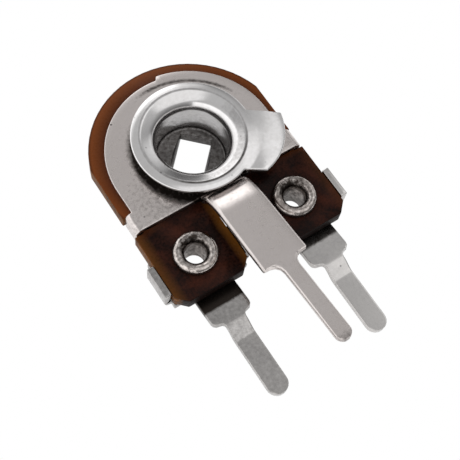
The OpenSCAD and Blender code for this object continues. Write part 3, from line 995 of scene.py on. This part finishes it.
def neckLine(s):
    # middle line of the neck and the pin, with a row wherever it bends or its width changes
    corners = [(0, s["baseEnd"], s["middle"]), (0, -s["riseFrom"], s["middle"]),
               (0, -s["stepFrom"], s["middle"] + s["neckLift"]), (0, -s["stepEnd"], s["pinHeight"]),
               (0, -endTerminal["tip"], s["pinHeight"])]
    line = bendPath(corners, [0, s["neckBend"], s["neckBend"], s["neckBend"], 0], 6)
    stops = sorted(terminalStops(endTerminal, s["riseFrom"]) + [-point.y for point in line[1:-1]])
    path = [line[0]]
    for stop in stops:
        if stop + path[-1].y >= s["rowGap"] or stop == stops[-1]:
            path.append(Vector((0, -stop, heightAlong(line, stop))))
    return path


def makeEndTerminal(s):
    piece = makeEndBase(s)
    pullEars(piece, s)
    path = neckLine(s)
    middle, half = eyeletPlace[0], endTerminal["half"]
    selectWhere(piece, lambda p: abs(p.y - s["baseEnd"]) < near and within(p.x, middle - half, middle + half))
    pullEdge(path, [terminalWidth(endTerminal, -point.y) for point in path], middle)
    tipFrom = endTerminal["pinHalf"] - endTerminal["tip"]
    thicken(piece, s["thick"], s["edgeRound"], lambda place: 1.0 if place.y > tipFrom else s["tipShare"])
    return piece


def mirrorPiece(piece, name):
    copy = bpy.data.objects.new(name, piece.data.copy())
    bpy.context.scene.collection.objects.link(copy)
    editAll(copy)
    bpy.ops.transform.resize(value=(-1, 1, 1), center_override=(0, 0, 0))
    bpy.ops.mesh.flip_normals()
    finishMesh(copy)
    return copy


endRight = makeEndTerminal(endSettings)
endLeft = mirrorPiece(endRight, "endTerminalLeft")
keepFlats(endRight)
keepFlats(endLeft)
dress(endRight, metals["terminal"], "stator", "end_terminal_right")
dress(endLeft, metals["terminal"], "stator", "end_terminal_left")
print("end terminals made")


# rotor: flange and dished ring, cup, floor with the tool hole turned out at the back, and the stop tab

rotorSettings = {
    "thick": 0.28,
    "edgeRound": 0.06,
    "backShare": 0.5,        # edges at the back get this much of the rounding
    "spokes": 180,
    "flangeEnd": 2.635,
    "flangeHeight": 1.040,
    "brim": (2.42, 1.083),   # the flange turns down a little outside this
    "brimBend": 0.3,
    "crest": (2.27, 1.108),  # the crease between the flange and the dish
    "crestBend": 0.16,
    "lip": (1.70, 0.844),    # where the dish turns down into the cup
    "lipBend": 0.44,
    "floorHeight": -0.96,
    "floorBend": 0.25,
    "floorTo": 1.2,
    "holeHalfLong": 1.19,    # to the middle of the turned-out edge
    "holeHalfWide": 0.77,
    "holeTurn": 45.5,
    "holeCorner": 1.40,
    # rows from the floor's bend to the hole's edge: share of the way, and fall
    "holeRows": ((0.5, 0), (0.85, 0), (0.95, 0.03), (1.0, 0.1), (1.0, 0.38)),
    "turnoutShare": 0.5,     # the turned-out edge is drawn to half the sheet's thickness
    "tabTurn": -32,
    "tabHalf": 1.45,
    "tabShift": -0.1,        # the tab's middle line passes the axis at this distance
    "tabHeight": 1.002,
    "tabBendAt": 2.95,
    "tabFall": 0.158,        # the tab's end drops this much for each mm outwards
    "tabEndRadius": 2.76,
    "tabEndMiddle": (1.2, 0.46),
    "tabRows": (0.12, 0.25, 0.5, 0.75, 1.0),
    "tabBlend": 6,           # the tab leaves the flange's height within a sixth of its length
}


def rotorAngles(s):
    tabTurn = math.radians(s["tabTurn"])
    holeTurn = math.radians(s["holeTurn"])
    corner = math.atan2(s["holeHalfWide"], s["holeHalfLong"])
    tabSides = [(s["tabShift"] + side * s["tabHalf"]) / s["flangeEnd"] for side in (-1, 1)]
    special = [tabTurn + math.asin(share) for share in tabSides]
    special += [holeTurn + k * math.pi + side * corner for k in (0, 1) for side in (-1, 1)]
    return spokes(s["spokes"], special)


def holeEdge(s, angle):
    turn = angle - math.radians(s["holeTurn"])
    toEnd = s["holeHalfLong"] / max(abs(math.cos(turn)), tiny)
    toSide = s["holeHalfWide"] / max(abs(math.sin(turn)), tiny)
    return along(angle, min(toEnd, toSide, s["holeCorner"]))


def growTab(piece, s):
    outwards = along(math.radians(s["tabTurn"]))
    sideways = along(math.radians(s["tabTurn"]) + math.pi / 2)
    outAt, acrossAt = s["tabEndMiddle"]

    def onTabRoot(p):
        onFlange = abs(p.z - s["flangeHeight"]) < near and p.xy.length > s["flangeEnd"] - near
        across = p.xy.dot(sideways) - s["tabShift"]
        return onFlange and p.xy.dot(outwards) > 0 and abs(across) < s["tabHalf"] + near

    selectWhere(piece, onTabRoot)
    for share in s["tabRows"]:
        def tabPlace(p):
            across = p.xy.dot(sideways)
            start = math.sqrt(s["flangeEnd"] ** 2 - across ** 2)
            end = outAt + math.sqrt(s["tabEndRadius"] ** 2 - (across - acrossAt) ** 2)
            out = start + (end - start) * share
            height = s["tabHeight"] - max(out - s["tabBendAt"], 0) * s["tabFall"]
            height += (s["flangeHeight"] - s["tabHeight"]) * max(0, 1 - share * s["tabBlend"])
            return (*(outwards * out + sideways * across), height)
        growLoop(piece, tabPlace)


def makeRotor(s):
    end, height, floor = s["flangeEnd"], s["flangeHeight"], s["floorHeight"]
    piece = startLoop("rotorCup", [(*along(a, end), height) for a in rotorAngles(s)])
    corners = [(end, height), s["brim"], s["crest"], s["lip"], (s["lip"][0], floor), (s["floorTo"], floor)]
    bends = [0, s["brimBend"], s["crestBend"], s["lipBend"], s["floorBend"], 0]
    section = bendSection(corners, bends, 9)
    growRound(piece, section)
    rows = [(share, floor - fall) for share, fall in s["holeRows"]]
    growTowards(piece, section[-1][0], lambda angle: holeEdge(s, angle), rows)
    growTab(piece, s)
    pickNothing()
    full = piece.vertex_groups.new(name="full")
    full.add([v.index for v in piece.data.vertices if v.co.z > (floor - slack) * mm], 1.0, "REPLACE")
    thicken(piece, s["thick"], s["edgeRound"], lambda place: 1.0 if place.z > 0 else s["backShare"],
            vertex_group="full", thickness_vertex_group=s["turnoutShare"])
    dress(piece, metals["rotor"], "turning_set", "rotor")


makeRotor(rotorSettings)
print("rotor made")


# eyelets: rolled rim in front, barrel, flat head behind

eyeletSettings = {
    "bore": 0.46,
    "boreEdge": 0.05,
    "barrel": 0.60,
    "rim": 0.97,
    "rimSeat": 0.01,         # the rim lies this much above the board
    "rimSection": ((0, 0.10), (0.03, 0.20), (0.09, 0.28), (0.18, 0.325), (0.28, 0.315), (0.36, 0.275),
                   (0.43, 0.20), (0.48, 0.11)),   # inwards from the rim, and height
    "crinkle": 0.012,
    "crinkleAbove": 0.15,
    "crinkleInside": 0.05,   # from the rim inwards
    "back": -1.04,
    "headRadius": 0.96,
    "headEnd": -1.34,
    "headEdge": 0.1,
    "spokes": 72,
    "smoothAngle": 45,
}


def makeEyelet(s):
    rim, bore, head, end, seat = s["rim"], s["bore"], s["headRadius"], s["headEnd"], s["rimSeat"]
    edge = s["headEdge"]
    section = [(rim - inwards, height) for inwards, height in s["rimSection"]]
    section += [(bore, 0), (bore, end + s["boreEdge"]), (bore + s["boreEdge"], end), (head - edge, end),
                (head - 0.3 * edge, end + 0.3 * edge), (head, end + edge), (head, s["back"]),
                (s["barrel"], s["back"]), (s["barrel"], seat), (rim, seat)]
    piece = startLoop("eyeletRight", [(*along(a, rim), seat) for a in spokes(s["spokes"])])
    growRound(piece, section)
    weld(piece)
    bpy.ops.mesh.normals_make_consistent(inside=False)
    # the rim was rolled over in one blow, so its inside is crinkled
    selectWhere(piece, lambda p: p.z > s["crinkleAbove"] and p.xy.length < rim - s["crinkleInside"])
    bpy.ops.transform.vertex_random(offset=s["crinkle"] * mm, seed=4)
    editAll(piece)
    bpy.ops.transform.translate(value=(eyeletPlace[0] * mm, eyeletPlace[1] * mm, 0))
    finishMesh(piece, s["smoothAngle"])
    return piece


eyeletRight = makeEyelet(eyeletSettings)
eyeletLeft = mirrorPiece(eyeletRight, "eyeletLeft")
dress(eyeletRight, metals["eyelet"], "stator", "eyelet_right")
dress(eyeletLeft, metals["eyelet"], "stator", "eyelet_left")
print("eyelets made")


# the carbon track and the wiper keep their CAD solids

def finishNode(name, material):
    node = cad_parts[name]
    node.data.materials.clear()
    node.data.materials.append(material)


finishNode("resistive_track", carbonFilm)
finishNode("wiper_spring", metals["spring"])
print("back pieces finished")


# floor, light and sky: a white wall on one side, a grey ceiling with bright panels, the front left dark

stageSettings = {
    "floorSize": 4.0,                       # m
    "floorGap": 0.01,                       # mm below the part
    "floorColour": (0.80, 0.80, 0.80, 1),
    "floorGlow": 0.3,                       # the paper also glows a little, as on a light table
    "ceiling": (0.10, 0.57),                # sky brightness at the horizon and overhead
    "ceilingSpan": (0.05, 0.80),            # heights are those of a direction, from 0 to 1
    "wall": 1.02,
    "wallSide": (-0.883, 0.469, 0.0),       # the wall stands on this side of the part
    "wallEdge": (-0.01, 0.05),
    "wallTop": (0.60, 0.74),
    # direction, inner and outer angle of its glow in degrees, brightness
    "panels": (
        ((0.12, -0.38, 0.917), 24, 30, 0.50),
        ((0.58, 0.08, 0.81), 8, 14, 0.58),
        ((0.32, 0.82, 0.47), 12, 19, 0.55),
        ((0.95, 0.28, 0.15), 10, 25, 0.60),
    ),
    "boxWay": (-0.62, 0.50, 0.60),          # the light box in front of the wall shines from here
    "boxDistance": 0.16,
    "boxSize": 0.10,
    "boxPower": 0.10,
}


def makeFloor(s):
    lowest = min(corner[2] for corner in cadBox)
    pickNothing()
    bpy.ops.mesh.primitive_plane_add(size=s["floorSize"], location=(0, 0, lowest - s["floorGap"] * mm))
    floor = bpy.context.object
    floor.name = "paleFloor"
    bpy.ops.object.transform_apply(location=True, rotation=True, scale=True)
    material, tree = newMaterial("paleFloor")
    paper = addNode(tree, "ShaderNodeBsdfDiffuse", Color=s["floorColour"])
    glow = addNode(tree, "ShaderNodeEmission", Strength=s["floorGlow"])
    lit = addNode(tree, "ShaderNodeAddShader")
    feed(tree, lit, ((0, paper.outputs[0]), (1, glow.outputs[0])))
    # seen straight on the paper is burnt out to white, as in the photograph
    bright = addNode(tree, "ShaderNodeEmission", Strength=1.0)
    path = addNode(tree, "ShaderNodeLightPath")
    mix = addNode(tree, "ShaderNodeMixShader")
    feed(tree, mix, ((0, path.outputs["Is Camera Ray"]), (1, lit.outputs[0]), (2, bright.outputs[0])))
    addOutput(tree, mix)
    floor.data.materials.append(material)


def makeLightBox(s):
    way = Vector(s["boxWay"]).normalized()
    pickNothing()
    bpy.ops.object.light_add(type="AREA", location=way * s["boxDistance"])
    light = bpy.context.object
    light.name = "wallBox"
    light.data.shape = "DISK"
    light.data.size = s["boxSize"]
    light.data.energy = s["boxPower"]
    light.rotation_euler = way.to_track_quat("Z", "Y").to_euler()
    light.visible_glossy = False    # the metal mirrors the wall in the sky instead


def towards(tree, way, direction):
    node = addNode(tree, "ShaderNodeVectorMath", operation="DOT_PRODUCT")
    tree.links.new(way, node.inputs[0])
    node.inputs[1].default_value = Vector(direction).normalized()
    return node.outputs["Value"]


def makeSky(s):
    world = bpy.data.worlds.new("studioSky")
    world.use_nodes = True
    bpy.context.scene.world = world
    tree = world.node_tree
    tree.nodes.clear()
    way = addNode(tree, "ShaderNodeTexCoord").outputs["Generated"]
    height = towards(tree, way, (0, 0, 1))
    glow = spread(tree, height, *s["ceilingSpan"], *s["ceiling"])
    wall = times(tree, spread(tree, towards(tree, way, s["wallSide"]), *s["wallEdge"]),
                 spread(tree, height, *s["wallTop"], s["wall"], 0.0))
    glow = plus(tree, glow, wall)
    for direction, inner, outer, bright in s["panels"]:
        panel = spread(tree, towards(tree, way, direction), math.cos(math.radians(outer)),
                       math.cos(math.radians(inner)), 0.0, bright)
        glow = plus(tree, glow, panel)
    background = addNode(tree, "ShaderNodeBackground", Strength=1.0)
    tree.links.new(glow, background.inputs[0])
    output = addNode(tree, "ShaderNodeOutputWorld")
    tree.links.new(background.outputs[0], output.inputs[0])


makeFloor(stageSettings)
makeLightBox(stageSettings)
makeSky(stageSettings)
bpy.context.scene.view_settings.view_transform = "Standard"
print("stage set")

pickNothing()
